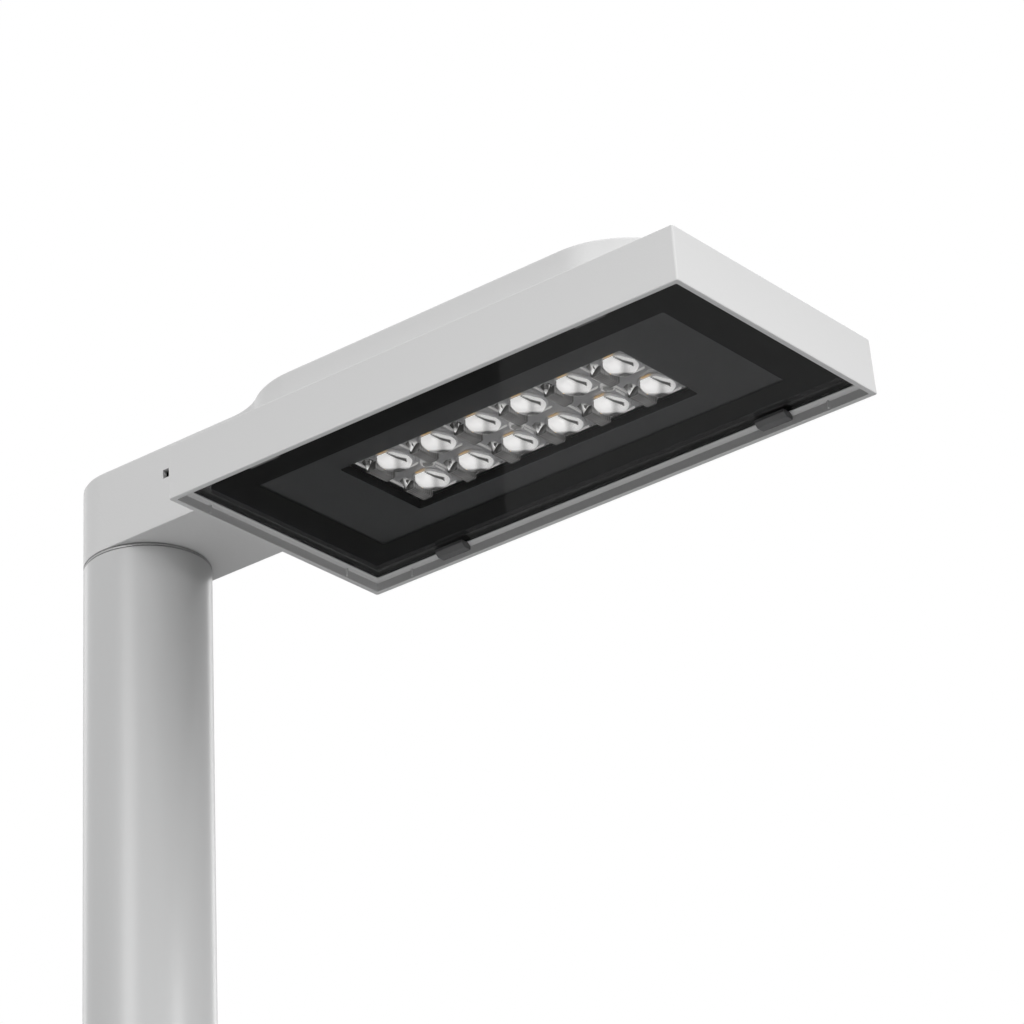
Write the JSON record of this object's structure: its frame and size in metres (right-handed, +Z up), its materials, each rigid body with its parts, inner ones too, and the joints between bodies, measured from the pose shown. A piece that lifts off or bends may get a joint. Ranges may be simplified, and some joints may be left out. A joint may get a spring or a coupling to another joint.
{
  "type": "street lamp post",
  "caption": "Straight round lamp post on a square base plate, with a flat LED head on a short arm that swivels about the pole, a glazed underside and a lift-off service door.",
  "frame": {"origin": "on the pole's axis, at the underside of the base plate", "axes": "+Z up along the pole, +X from the pole towards the head, the service door faces -Y"},
  "size_m": [0.7745, 0.3, 3.571],
  "materials": {
    "powder_coat_pole": "satin light grey powder coat over steel",
    "powder_coat_head": "fine-textured light grey powder coat over cast aluminium",
    "galvanised": "hot-dip galvanised steel",
    "steel": "zinc-plated steel fasteners",
    "stainless": "stainless steel fasteners",
    "aluminium": "bare machined aluminium",
    "collar": "grey anodised aluminium",
    "glass": "clear toughened glass with a black printed border",
    "seal": "black silicone and EPDM seals",
    "clip": "black glass-filled nylon",
    "mask": "matt dark grey painted plate",
    "lens": "clear moulded acrylic optics",
    "board": "white solder mask on an aluminium board",
    "phosphor": "yellow LED phosphor",
    "gear": "off-white moulded gear housings",
    "surge": "red moulded surge protector",
    "black_plastic": "black polyamide",
    "clear_plastic": "smoked polycarbonate cover",
    "ceramic": "ceramic fuse bodies",
    "brass": "tinned brass lug",
    "cable": "black cable sheath",
    "earth_sheath": "green and yellow wire sheath"
  },
  "bodies": {
    "post": {"base_plate": "powder_coat_pole", "base_gussets": "powder_coat_pole", "pole_tube": "powder_coat_pole", "spigot": "collar", "hatch_lugs": "powder_coat_pole", "equipment_rail": "galvanised", "rail_brackets": "galvanised", "fuse_box_base": "black_plastic", "fuse_box_cover": "clear_plastic", "fuse_box_screws": "steel", "fuse_holders": "black_plastic", "fuses": "ceramic", "post_terminal": "gear", "post_glands": "black_plastic", "cable_clamp": "black_plastic", "earth_stud": "steel", "earth_nut": "steel", "earth_lug": "brass", "earth_wire": "earth_sheath", "riser_cable": "cable"},
    "hatch": {"hatch_door": "powder_coat_pole", "hatch_gasket": "seal"},
    "lock_upper": {"hatch_screw_upper": "stainless"},
    "lock_lower": {"hatch_screw_lower": "stainless"},
    "head": {"arm_casting": "powder_coat_head", "tray_housing": "powder_coat_head", "casting_seal": "seal", "casting_screws": "steel", "clamp_ring": "aluminium", "clamp_bolt": "steel", "clamp_nut": "steel", "clamp_screws": "steel", "glass_panel": "glass", "glass_gasket": "seal", "glass_clips": "clip", "mask_plate": "mask", "mask_screws": "black_plastic", "heat_spreader": "aluminium", "spreader_screws": "steel", "led_board_1": "board", "led_board_2": "board", "led_board_3": "board", "led_chips": "phosphor", "lens_module_1": "lens", "lens_module_2": "lens", "lens_module_3": "lens", "lens_screws": "stainless", "gear_plate": "galvanised", "gear_screws": "steel", "driver": "gear", "surge_protector": "surge", "head_terminal": "gear", "cable_gland": "black_plastic", "breather_vent": "black_plastic", "head_cable": "cable", "driver_leads": "cable", "led_leads": "cable", "lead_grommet": "seal"}
  },
  "joints": [
    {"name": "head_swivel", "type": "hinge", "parent": "post", "child": "head", "pos_m": [0, 0, 3.527], "axis": [0, 0, 1], "range_deg": [-180, 180]},
    {"name": "hatch_lift_off", "type": "slide", "parent": "post", "child": "hatch", "axis": [0, -1, 0], "range_m": [0, 0.1]},
    {"name": "lock_upper_turn", "type": "hinge", "parent": "hatch", "child": "lock_upper", "pos_m": [0, -0.05, 0.862], "axis": [0, -1, 0], "range_deg": [0, 720]},
    {"name": "lock_lower_turn", "type": "hinge", "parent": "hatch", "child": "lock_lower", "pos_m": [0, -0.05, 0.618], "axis": [0, -1, 0], "range_deg": [0, 720]}
  ]
}
